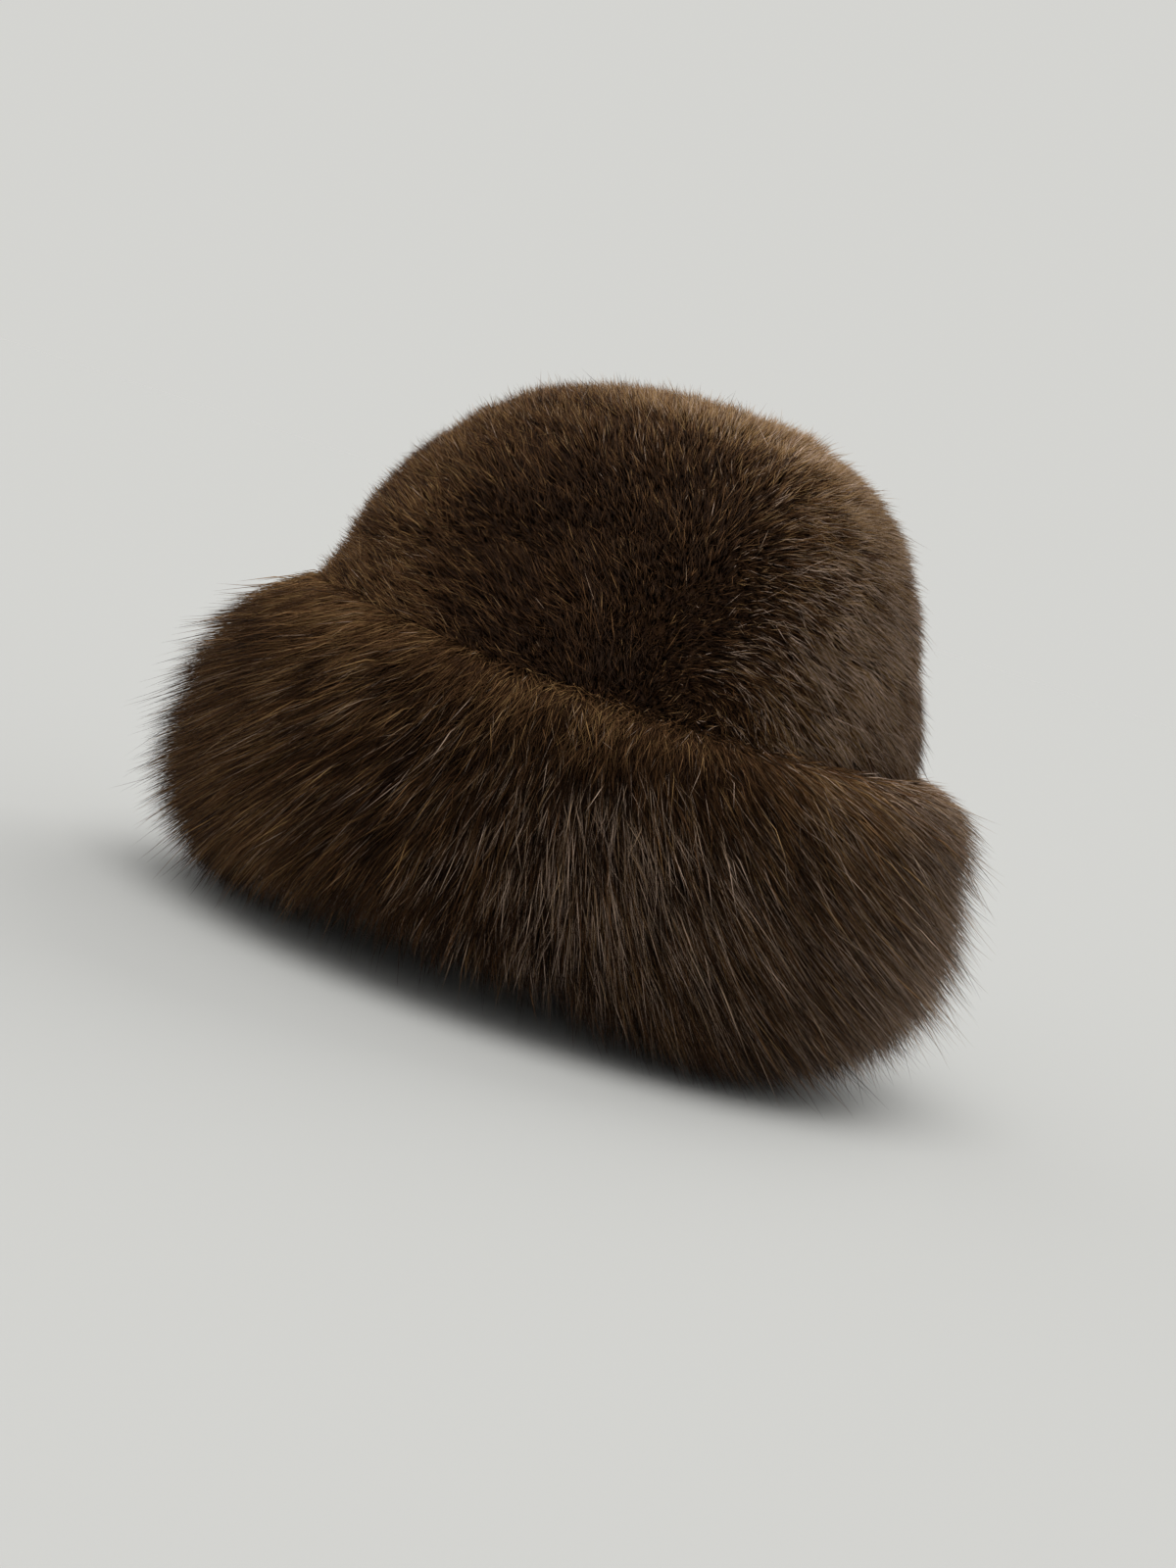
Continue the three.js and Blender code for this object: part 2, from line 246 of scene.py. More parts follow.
# Each lamp's way from the hat, its strength and its spread in degrees
LAMPS = {
    "ceiling_light": ((0.38, -0.08, 0.92), 2.2, 55),
    "fill_light": ((0.9, -0.3, 0.42), 0.75, 50),
    "back_light": ((-0.74, 0.42, 0.52), 1.5, 45),
}
PICTURE = (1200, 1600)  # the photograph's size in pixels
PIXEL = 0.355  # millimetres of the hat's middle plane to one of them
SEAM_PIXEL = (628, 697)  # where the middle of the crown's foot is seen
SENSOR = 36  # the camera's sensor, which takes in the picture's height


def smooth_step(low, high, value):
    """0 below low, 1 above high and 3t^2 - 2t^3 between them."""
    t = np.clip((value - low) / (high - low), 0, 1)
    return t * t * (3 - 2 * t)


def lattice(ix, iy, iz, seed):
    """A fixed random number from -1 to 1 for each whole-numbered point."""
    mask = 0xFFFFFFFF
    mixed = (ix * 374761393 + iy * 668265263 + iz * 1103515245 + seed * 974634777) & mask
    mixed = ((mixed ^ (mixed >> 13)) * 1274126177) & mask
    return ((mixed ^ (mixed >> 16)) & 0xFFFF) / 32767.5 - 1


def noise(points, cell, seed):
    """Smooth random numbers from -1 to 1: the lattice's values at the eight corners round
    each point, mixed by the smooth step of its place between them. Each use has its seed."""
    scaled = points / cell
    corner = np.floor(scaled).astype(np.int64)
    part = scaled - corner
    part = part * part * (3 - 2 * part)
    total = np.zeros(len(points))
    for dx, dy, dz in np.ndindex(2, 2, 2):
        weight = (
            np.abs(1 - dx - part[:, 0])
            * np.abs(1 - dy - part[:, 1])
            * np.abs(1 - dz - part[:, 2])
        )
        total += weight * lattice(corner[:, 0] + dx, corner[:, 1] + dy, corner[:, 2] + dz, seed)
    return total


def noise_of(name, points, seed=0):
    """A noise of the table, at its strength, with its seed moved on by another."""
    cell, strength, first = NOISES[name]
    return strength * noise(points, cell, first + seed)


def noise_vectors(name, points, seed):
    """Three noises, with seeds that follow each other, as the parts of a vector."""
    return np.stack([noise_of(name, points, seed + k) for k in range(3)], 1)


def in_zone(name, value):
    """How far a value is into one of the table's zones, by the smooth step."""
    return smooth_step(*ZONES[name], value)


def unit(vectors):
    """The vectors at length one."""
    return vectors / np.maximum(np.linalg.norm(vectors, axis=-1, keepdims=True), 1e-9)


def crown_column(name, place):
    """A column of the crown's table, on the Catmull-Rom curve through its rows."""
    values = CROWN[:, CROWN_COLUMNS.index(name)]
    last = len(values) - 1
    row = np.clip(np.floor(place).astype(int), 0, last - 1)
    t = place - row
    a, b, c, d = (values[np.clip(row + k, 0, last)] for k in (-1, 0, 1, 2))
    return 0.5 * (
        2 * b
        + (c - a) * t
        + (2 * a - 5 * b + 4 * c - d) * t * t
        + (3 * b - a - 3 * c + d) * t * t * t
    )


def by_sine(table, sine):
    """A table's value from the front, at sine -1, to the back, at sine 1."""
    return np.interp(sine, list(table), list(table.values()))


def crown_form(place, angle):
    """The crown's outer form: at each place an oval of half-axes width and length, moved
    back and up, and turned about the X axis by its tilt. Its foot sags over the ears."""
    tilt = np.radians(crown_column("tilt", place))
    along = np.maximum(crown_column("length", place), 0) * np.sin(angle)
    sag = SIDE_SAG * np.cos(angle) ** 2 * np.maximum(0, 1 - place)
    return np.stack(
        [
            MIDDLE[0] + np.maximum(crown_column("width", place), 0) * np.cos(angle),
            MIDDLE[1] + crown_column("back", place) + along * np.cos(tilt),
            SEAM_HEIGHT + crown_column("up", place) + along * np.sin(tilt) - sag,
        ],
        -1,
    )


def crown_normal(place, angle):
    """Outward direction: the cross product of the form's steps round and up."""
    step = 0.01
    low = np.clip(place, step, TOP_ROW - 2 * step)
    up = crown_form(low + step, angle) - crown_form(low - step, angle)
    around = crown_form(low, angle + step) - crown_form(low, angle - step)
    return unit(np.cross(around, up))


def top_seam_dip(place):
    """The pile's dip along the top panel's seam: a bell curve across it."""
    return SEAM_DIP * np.exp(-(((place - TOP_SEAM) / DIP_REACH) ** 2))


def crown_surface(place, angle, depth):
    """The form moved inwards by depth and by the seam's dip, as far as the wall allows."""
    inward = np.minimum(depth + top_seam_dip(place), np.maximum(depth, CROWN_WALL - DIP_WALL))
    return crown_form(place, angle) - crown_normal(place, angle) * inward[..., None]


def brim_point(angle, out, down):
    """A point of the brim, out from the oval of the opening at an angle and down from the
    seam. Beyond the crown's wall the reach out grows from the back to the front. Over the
    ears the seam sags by the square of the angle's cosine, and the hem lifts by its table.
    The fur just below the top edge reaches further out, and perks up towards the back."""
    length = HALF_LENGTH - CROWN_WALL
    width = HALF_WIDTH - CROWN_WALL
    away = unit(np.stack([np.cos(angle) / width, np.sin(angle) / length], -1))
    sine = np.sin(angle)
    fur = np.maximum(out - CROWN_WALL, 0)
    to_back = (sine + 1) / 2
    reach = out - fur + fur * (FRONT_SWELL + (BACK_SWELL - FRONT_SWELL) * to_back)
    edge = np.exp(-(((down - EDGE_AT) / EDGE_SPAN) ** 2)) * np.clip(fur / REACH_OUT, 0, 1)
    reach += by_sine(EDGE_REACH, sine) * edge
    y = length * sine + away[..., 1] * reach
    level = np.clip(1 - down / SEAM_HEIGHT, 0, 1)
    lift = by_sine(HEM_LIFT, sine) * (1 - level) ** HEM_POWER
    lift -= np.cos(angle) ** 2 * SIDE_SAG * level
    perk = np.clip(fur / PERK_OUT, 0, 1) * smooth_step(PERK_DOWN, 0, down)
    lift += by_sine(EDGE_PERK, sine) * perk
    return np.stack(
        [
            MIDDLE[0] + width * np.cos(angle) + away[..., 0] * reach,
            MIDDLE[1] + y,
            SEAM_HEIGHT - down + math.tan(SEAM_TILT) * y * level + lift,
        ],
        -1,
    )


def lay(level, part):
    """Out and down of the root, bend or tip at a level from 0 at the seam to 1 at the hem."""
    rows = np.linspace(0, 1, len(LAY))
    out, down = LAY[:, LAY_PARTS.index(part)].T
    return np.interp(level, rows, out), np.interp(level, rows, down)


def on_curve(root, bend, tip, t):
    """The quadratic Bezier curve (1-t)^2 root + 2t(1-t) bend + t^2 tip."""
    t = np.asarray(t)[..., None]
    return root * (1 - t) ** 2 + bend * 2 * t * (1 - t) + tip * t * t


def fill_mesh(name, points, corners, sizes, slots=None, uv=None):
    """A mesh object from whole arrays. points are in millimetres, corners holds the faces'
    vertex numbers in a row, sizes each face's number of corners and uv a pair per corner."""
    mesh = bpy.data.meshes.new(name)
    mesh.vertices.add(len(points))
    mesh.vertices.foreach_set("co", (points * MM).astype(np.float32).ravel())
    mesh.loops.add(len(corners))
    mesh.loops.foreach_set("vertex_index", corners.astype(np.int32))
    mesh.polygons.add(len(sizes))
    starts = np.concatenate([[0], np.cumsum(sizes)[:-1]]).astype(np.int32)
    mesh.polygons.foreach_set("loop_start", starts)
    mesh.polygons.foreach_set("use_smooth", np.ones(len(sizes), bool))
    if slots is not None:
        mesh.polygons.foreach_set("material_index", slots.astype(np.int32))
    if uv is not None:
        layer = mesh.uv_layers.new(name=UV_MAP)
        layer.data.foreach_set("uv", uv.astype(np.float32).ravel())
    mesh.update(calc_edges=True)
    mesh.validate()
    made = bpy.data.objects.new(name, mesh)
    bpy.context.scene.collection.objects.link(made)
    return made


def band_quads(spans, rows, around):
    """Vertex numbers of the quads that join each ring of points to the next, ring by ring.
    With as many spans as rows, the last ring is joined to the first."""
    j = np.arange(around)
    nxt = (j + 1) % around
    bands = []
    for i in range(spans):
        low, high = i * around, (i + 1) % rows * around
        bands.append(np.stack([low + j, low + nxt, high + nxt, high + j], 1))
    return np.concatenate(bands).ravel()


def fan(first, around, pole, way):
    """Vertex numbers of the triangles that close a ring on a point, with the ring's points
    taken forwards, way 1, or backwards, way -1."""
    j = np.arange(around)
    pair = [first + j, first + (j + 1) % around]
    return np.stack([*pair[::way], np.full(around, pole)], 1).ravel()


def rings_mesh(name, rings, closed, slot_of_row):
    """A tube of rings, each joined to the next. A closed one joins its last ring to its
    first, and any other is closed by a point in the middle of each end ring."""
    rows, around = rings.shape[:2]
    points = rings.reshape(-1, 3)
    spans = rows if closed else rows - 1
    corners = band_quads(spans, rows, around)
    sizes = np.full(spans * around, 4)
    slots = np.repeat([slot_of_row(i) for i in range(spans)], around)
    if not closed:
        poles = np.stack([rings[0].mean(0), rings[-1].mean(0)])
        points = np.concatenate([points, poles])
        low = fan(0, around, len(points) - 2, -1)
        high = fan(spans * around, around, len(points) - 1, 1)
        corners = np.concatenate([corners, low, high])
        sizes = np.concatenate([sizes, np.full(2 * around, 3)])
        ends = np.repeat([slot_of_row(0), slot_of_row(spans - 1)], around)
        slots = np.concatenate([slots, ends])
    return fill_mesh(name, points, corners, sizes, slots)


def spike_faces(rings):
    """Vertex numbers of one hair's triangles: its root end, the sides between its rings of
    three points, and the sides that close on its tip."""
    faces = [(2, 1, 0)]
    for ring in range(rings - 1):
        low, high = ring * 3, ring * 3 + 3
        for corner in range(3):
            nxt = (corner + 1) % 3
            faces.append((low + corner, low + nxt, high + nxt))
            faces.append((low + corner, high + nxt, high + corner))
    top, tip = rings * 3 - 3, rings * 3
    faces += [(top + corner, top + (corner + 1) % 3, tip) for corner in range(3)]
    return np.array(faces).ravel()


def hair_arrays(roots, bends, tips, radius, tone, lit, stations, first):
    """One closed three-sided spike for each hair. Its rings lie on the hair's Bezier curve at
    the stations between first and 1, with three corners round it, and the radius falls to
    nothing at the tip. The UV map's u is the hair's tone, and its v runs from lit at the
    root, where 0 is deepest in the fur and darkest in the hair material's painted shade, to 1
    at the tip, so a higher lit paints more light on the hair. Returns the points, the faces'
    vertex numbers and a UV pair for each of them."""
    count = len(roots)
    rings = []
    side = None
    for station in stations:
        t = first + (1 - first) * station
        middle = on_curve(roots, bends, tips, np.full(count, t))
        ahead = on_curve(roots, bends, tips, np.full(count, min(t + 0.05, 1.0)))
        along = unit(ahead - middle + 1e-7)
        if side is None:
            side = unit(np.cross(along, unit(RNG.normal(size=(count, 3)))))
        else:
            side = unit(side - along * np.sum(side * along, 1, keepdims=True))
        across = np.cross(along, side)
        size = (radius * (1 - station) ** 0.6)[:, None]
        for corner in range(3):
            turn = corner * TURN / 3
            rings.append(middle + size * (side * math.cos(turn) + across * math.sin(turn)))
    points = np.stack([*rings, tips], 1)
    faces = spike_faces(len(stations))
    corners = (faces[None, :] + np.arange(count)[:, None] * points.shape[1]).ravel()
    along_hair = np.array([s for s in stations for _ in range(3)] + [1.0])[faces]
    aside = np.array([c for _ in stations for c in (0.0, 1.0, 0.5)] + [0.5])[faces]
    ahead = np.array([c for _ in stations for c in (0.0, 0.0, 0.01)] + [0.0])[faces]
    u = UV_EDGE + UV_SPAN * tone[:, None] + UV_HAIR * aside
    v = UV_EDGE + UV_SPAN * (lit[:, None] + (1 - lit[:, None]) * along_hair) + ahead
    return points.reshape(-1, 3), corners, np.stack([u, v], -1).reshape(-1, 2)


def hairs_mesh(name, groups):
    """One mesh of several groups of hairs, with their vertex numbers moved on in turn."""
    before = np.cumsum([0] + [len(group[0]) for group in groups])
    points = np.concatenate([group[0] for group in groups])
    corners = np.concatenate([group[1] + start for group, start in zip(groups, before)])
    uv = np.concatenate([group[2] for group in groups])
    return fill_mesh(name, points, corners, np.full(len(corners) // 3, 3), uv=uv)


def cell_areas(grid):
    """The area of each cell of a grid of points: the length of its sides' cross product."""
    across = np.cross(grid[1:, :-1] - grid[:-1, :-1], grid[:-1, 1:] - grid[:-1, :-1])
    return np.linalg.norm(across, axis=-1)


def spread_over(areas, count):
    """Rows and columns, with fractions, spread over a grid of cells by their area: even
    steps through the running total of the areas, each a little out of place."""
    totals = np.cumsum(areas.ravel())
    picks = (np.arange(count) + RNG.random(count)) / count * totals[-1]
    cells = np.minimum(np.searchsorted(totals, picks), len(totals) - 1)
    row, col = np.unravel_index(cells, areas.shape)
    return row + RNG.random(count), col + RNG.random(count)


def locks(angle_cells, level_cells, seed):
    """The lock that each hair belongs to: the nearest of the points scattered one to a
    cell, with the distances down the brim weighed by the locks' stretch. Returns the lock's
    own place in cells and its random number."""
    best = np.full(len(angle_cells), np.inf)
    found = [np.zeros(len(angle_cells)) for _ in range(3)]
    base_a = np.floor(angle_cells).astype(np.int64)
    base_b = np.floor(level_cells).astype(np.int64)
    for da, db in np.ndindex(3, 3):
        a, b = base_a + da - 1, base_b + db - 1
        centre_a = a + 0.5 + LOCK_SCATTER * lattice(a, b, 0, seed)
        centre_b = b + 0.5 + LOCK_SCATTER * lattice(a, b, 1, seed)
        mood = lattice(a, b, 2, seed)
        down = (centre_b - level_cells) * LOCK_STRETCH
        distance = (centre_a - angle_cells) ** 2 + down**2
        nearer = distance < best
        best = np.where(nearer, distance, best)
        for k, value in enumerate((centre_a, centre_b, mood)):
            found[k] = np.where(nearer, value, found[k])
    return found


class FurHatSizes(bpy.types.PropertyGroup):
    """Sizes and numbers of the hat's hairs."""

    pile_hairs: IntProperty(
        name="Pile hairs", description="Hairs of short pile on the crown",
        default=92000, min=1000,
    )
    pile_width: FloatProperty(
        name="Pile width", description="Thickness of a hair of the pile at its root",
        default=0.00046, unit="LENGTH", subtype="DISTANCE",
    )
    fur_hairs: IntProperty(
        name="Fur hairs", description="Fine hairs of the brim's fur",
        default=114000, min=1000,
    )
    guard_hairs: IntProperty(
        name="Guard hairs", description="Long curved hairs of the brim",
        default=11000, min=1000,
    )
    fur_width: FloatProperty(
        name="Fur width", description="Thickness of a hair of the long fur at its root",
        default=0.00038, unit="LENGTH", subtype="DISTANCE",
    )
    gathering: FloatProperty(
        name="Gathering", description="How far the long hairs draw together into locks",
        default=0.5, min=0, max=1, subtype="FACTOR",
    )


COLOUR = {"size": 3, "subtype": "COLOR", "min": 0, "max": 1}  # of every colour's property


class FurHatColours(bpy.types.PropertyGroup):
    """Colours of the hat's hairs and cloth."""

    darkest: FloatVectorProperty(
        name="Darkest hair", description="Darkest tone of the fur",
        default=(0.0135, 0.0060, 0.0042), **COLOUR,
    )
    brown: FloatVectorProperty(
        name="Brown hair", description="Main tone of the fur",
        default=(0.074, 0.034, 0.0145), **COLOUR,
    )
    russet: FloatVectorProperty(
        name="Russet hair", description="Reddish tone of the fur",
        default=(0.185, 0.092, 0.040), **COLOUR,
    )
    warm: FloatVectorProperty(
        name="Warm hair", description="Light warm tone of the fur",
        default=(0.37, 0.225, 0.095), **COLOUR,
    )
    # The grey and silver tones go to the pale hairs, which are partly their own and partly painted
    # glints and sheen
    grey: FloatVectorProperty(
        name="Grey hair", description="Greyish tone of the pale hairs",
        default=(0.34, 0.238, 0.165), **COLOUR,
    )
    silver: FloatVectorProperty(
        name="Silver hair", description="Palest tone of the fur",
        default=(0.76, 0.57, 0.47), **COLOUR,
    )
    cloth: FloatVectorProperty(
        name="Backing cloth", description="Cloth inside the hat",
        default=(0.03, 0.02, 0.014), **COLOUR,
    )


class FurHatStage(bpy.types.PropertyGroup):
    """The camera's place and the studio's floor."""

    distance: FloatProperty(
        name="Camera distance", description="From the camera to the middle of the picture",
        default=0.95, unit="LENGTH", subtype="DISTANCE",
    )
    elevation: FloatProperty(
        name="Camera elevation", description="Camera's angle above the floor",
        default=math.radians(5.5), unit="ROTATION", subtype="ANGLE",
    )
    roll: FloatProperty(
        name="Camera roll", description="How far the camera is turned about its line of view",
        default=math.radians(18.4), unit="ROTATION", subtype="ANGLE",
    )
    floor: FloatVectorProperty(
        name="Floor", description="Colour of the floor and backdrop",
        default=(0.4, 0.4, 0.4), **COLOUR,
    )


def hat_sizes():
    """The sizes that the scene holds."""
    return bpy.context.scene.fur_hat_sizes


def new_material(name, roughness, sheen, gloss):
    """A material with its shader, whose steady numbers are set on the shader itself."""
    made = bpy.data.materials.new(name)
    made.use_nodes = True
    shader = made.node_tree.nodes["Principled BSDF"]
    shader.inputs["Roughness"].default_value = roughness
    shader.inputs["Sheen Weight"].default_value = sheen
    shader.inputs["Sheen Roughness"].default_value = 0.4
    shader.inputs["Sheen Tint"].default_value = (1.0, 0.78, 0.58, 1)
    shader.inputs["Specular IOR Level"].default_value = gloss
    shader.inputs["Specular Tint"].default_value = (1.0, 0.76, 0.55, 1)
    return made, made.node_tree, shader


def add_node(tree, kind, inputs, **settings):
    """A node of a kind, with its settings, and each input linked to a socket or set."""
    node = tree.nodes.new(kind)
    for name, value in settings.items():
        setattr(node, name, value)
    for key, value in inputs.items():
        if isinstance(value, bpy.types.NodeSocket):
            tree.links.new(value, node.inputs[key])
        else:
            node.inputs[key].default_value = value
    return node


def ramp_colour(tree, value, stops):
    """The colour that a ramp through the stops, each a place and a colour, gives a value."""
    node = add_node(tree, "ShaderNodeValToRGB", {"Fac": value})
    elements = node.color_ramp.elements
    while len(elements) < len(stops):
        elements.new(0.5)
    for element, (place, colour) in zip(elements, stops):
        element.position = place
        element.color = (*colour, 1)
    return node.outputs["Color"]


def add_bump(tree, shader, height, strength, distance):
    """Bump on the shader's normal, from a height."""
    inputs = {"Height": height, "Strength": strength, "Distance": distance}
    bump = add_node(tree, "ShaderNodeBump", inputs)
    tree.links.new(bump.outputs["Normal"], shader.inputs["Normal"])


def hair_material(name, roots, roughness, gloss):
    """Hair: the tone across the UV map picks a colour, which darkens from tip to root by the
    roots' two shades, one at the root and one a third of the way up. The darkening is partly
    the hairs' own darker roots and partly painted shade deep in the fur, and the lightening
    over the last third to the tip is partly painted glow of light through the tips."""
    colours = bpy.context.scene.fur_hat_colours
    made, tree, shader = new_material(name, roughness, 0.0, gloss)
    uv = add_node(tree, "ShaderNodeUVMap", {}, uv_map=UV_MAP)
    parts = add_node(tree, "ShaderNodeSeparateXYZ", {0: uv.outputs["UV"]})
    stops = [(place, tuple(getattr(colours, tone))) for tone, place in TONE_STOPS.items()]
    tone = ramp_colour(tree, parts.outputs["X"], stops)
    # The shade ramp along v: partly the hairs' own darker roots, partly painted shade deep in the
    # fur and painted glow at the tips
    low, third = roots
    stops = [
        (0.0, (low, low * 0.9, low * 0.8)),
        (0.35, (third, third * 0.94, third * 0.88)),
        (0.68, (0.6, 0.58, 0.56)),
        (1.0, (1.0, 1.0, 1.0)),
    ]
    shade = ramp_colour(tree, parts.outputs["Y"], stops)
    mix = add_node(
        tree, "ShaderNodeMix", {"Factor": 1, "A": tone, "B": shade},
        data_type="RGBA", blend_type="MULTIPLY",
    )
    tree.links.new(mix.outputs["Result"], shader.inputs["Base Color"])
    return made


def underfur_material():
    """Underfur: dark brown fibres, mottled by a fine noise and rough all over. Its darkness is
    partly the fur's own and partly painted shade deep in the fur.
    """
    colours = bpy.context.scene.fur_hat_colours
    made, tree, shader = new_material("underfur", 0.9, 0.0, 0.1)
    place = add_node(tree, "ShaderNodeTexCoord", {}).outputs["Object"]
    inputs = {"Vector": place, "Scale": 420, "Detail": 5}
    grain = add_node(tree, "ShaderNodeTexNoise", inputs).outputs["Fac"]
    brown = tuple(part * 0.45 for part in colours.brown)
    tone = ramp_colour(tree, grain, [(0.3, tuple(colours.darkest)), (0.7, brown)])
    tree.links.new(tone, shader.inputs["Base Color"])
    add_bump(tree, shader, grain, 0.8, 0.001)
    return made


def cloth_material():
    """Backing cloth: a fine knit of two crossed waves with a soft fuzz over it."""
    colours = bpy.context.scene.fur_hat_colours
    made, tree, shader = new_material("backing_cloth", 0.9, 0.25, 0.15)
    place = add_node(tree, "ShaderNodeTexCoord", {}).outputs["Object"]
    waves = []
    for direction, scale in (("Z", 620), ("DIAGONAL", 420)):
        inputs = {"Vector": place, "Scale": scale, "Distortion": 1.2, "Detail": 2}
        wave = add_node(tree, "ShaderNodeTexWave", inputs, bands_direction=direction)
        waves.append(wave.outputs["Fac"])
    inputs = {0: waves[0], 1: waves[1]}
    weave = add_node(tree, "ShaderNodeMath", inputs, operation="MULTIPLY").outputs[0]
    inputs = {"Vector": place, "Scale": 90}
    fuzz = add_node(tree, "ShaderNodeTexNoise", inputs).outputs["Fac"]
    both = add_node(tree, "ShaderNodeMath", {0: weave, 1: fuzz}, operation="ADD").outputs[0]
    shades = {0.4: 0.6, 0.6: 1.0, 0.95: 1.7}
    stops = [(stop, tuple(part * much for part in colours.cloth)) for stop, much in shades.items()]
    tree.links.new(ramp_colour(tree, both, stops), shader.inputs["Base Color"])
    add_bump(tree, shader, weave, 0.5, 0.0005)
    return made


def finish_piece(piece, nodes, materials):
    """Gives a piece its materials and its body, and hides the solids that it stands for."""
    for material in materials:
        piece.data.materials.append(material)
    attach(piece, "root")
    if nodes:
        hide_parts(*nodes)


def underfur_relief(points, seed):
    """Soft lumps of underfur, in millimetres."""
    return noise_of("lumps", points, seed) + noise_of("small_lumps", points, seed)


def crown_rings(places, depth, relief):
    """Rings of the crown's wall at the places, moved in by depth and by a lumpy relief."""
    angle = np.arange(BACKING_AROUND) * TURN / BACKING_AROUND
    place, turn = np.meshgrid(places, angle, indexing="ij")
    depths = np.full(place.shape, depth)
    if relief:
        form = crown_form(place, turn).reshape(-1, 3)
        depths = depths + np.abs(underfur_relief(form, 31).reshape(place.shape))
    return crown_surface(place, turn, depths)


def crown_walls(low, high, count):
    """Rings of the wall between two rows of the crown: up its outside, and down its inside."""
    places = np.linspace(low, high, count)
    return crown_rings(places, PILE_DEPTH, True), crown_rings(places, CROWN_WALL, False)[::-1]


class FURHAT_OT_backings(bpy.types.Operator):
    """Makes the backings of the crown and the brim, cloth inside and underfur outside"""

    bl_idname = "furhat.backings"
    bl_label = "Backings and underfur"

    def execute(self, context):
        materials = [underfur_material(), cloth_material()]
        finish_piece(self.crown_side(), ["crown_side"], materials)
        finish_piece(self.crown_top(), ["crown_top"], materials)
        finish_piece(self.brim(), ["brim"], materials)
        return {"FINISHED"}

    def crown_side(self):
        """The wall of the crown: its outside and then its inside, closed in a loop."""
        outer, inner = crown_walls(0, TOP_SEAM - SEAM_SPLIT, SIDE_RINGS)
        return rings_mesh(
            "crown_side_backing", np.concatenate([outer, inner]), True,
            lambda i: 1 if SIDE_RINGS <= i < 2 * SIDE_RINGS - 1 else 0,
        )

    def crown_top(self):
        """The top panel: its inside from the middle out and then its outside back in."""
        outer, inner = crown_walls(TOP_SEAM + SEAM_SPLIT, TOP_ROW - BACKING_STOP, TOP_RINGS)
        return rings_mesh(
            "crown_top_backing", np.concatenate([inner, outer]), False,
            lambda i: 1 if i < TOP_RINGS - 1 else 0,
        )

    def brim(self):
        """The brim's profile, its cloth face and then its underfur, carried round the oval."""
        angle = np.arange(BACKING_AROUND) * TURN / BACKING_AROUND
        steps = np.linspace(0, 1, CLOTH_RINGS)
        face = np.array(BACKING_FACE, float)
        where = np.linspace(0, 1, len(face))
        cloth = np.stack([np.interp(steps, where, face[:, k]) for k in (0, 1)], 1)
        levels = np.linspace(1, 0, UNDERFUR_RINGS)
        root, bend, tip = (np.stack(lay(levels, part), 1) for part in ("root", "bend", "tip"))
        fur = on_curve(root, bend, tip, np.full(UNDERFUR_RINGS, UNDERFUR_AT))
        fur[:, 1] = np.maximum(fur[:, 1], UNDERFUR_TOP)
        profile = np.concatenate([cloth, fur])
        place, turn = np.meshgrid(np.arange(len(profile)), angle, indexing="ij")
        smooth = brim_point(turn, profile[place, 0], profile[place, 1])
        lumps = underfur_relief(smooth.reshape(-1, 3), 51).reshape(place.shape)
        lumpy = (place > CLOTH_RINGS) & (place < len(profile) - 3)  # not at the fur's edges
        rings = brim_point(turn, profile[place, 0] + lumps * lumpy, profile[place, 1])
        rings[..., 2] = np.maximum(rings[..., 2], UNDERFUR_LOW)
        return rings_mesh("brim_backing", rings, True, lambda i: 1 if i < CLOTH_RINGS - 1 else 0)


def crown_comb(points):
    """The way that the crown's pile is brushed: forward and up on the front, up in the
    middle, and more strongly down and back on the back."""
    to_back = in_zone("comb_back", points[:, 1])[:, None]
    low = in_zone("comb_low", points[:, 2] - SEAM_HEIGHT)[:, None]
    back = COMB["back"] * (1 - low) + COMB["back_low"] * low
    middle = COMB["middle"] * to_back * (1 - to_back)
    return COMB["front"] * (1 - to_back) + back * to_back + middle


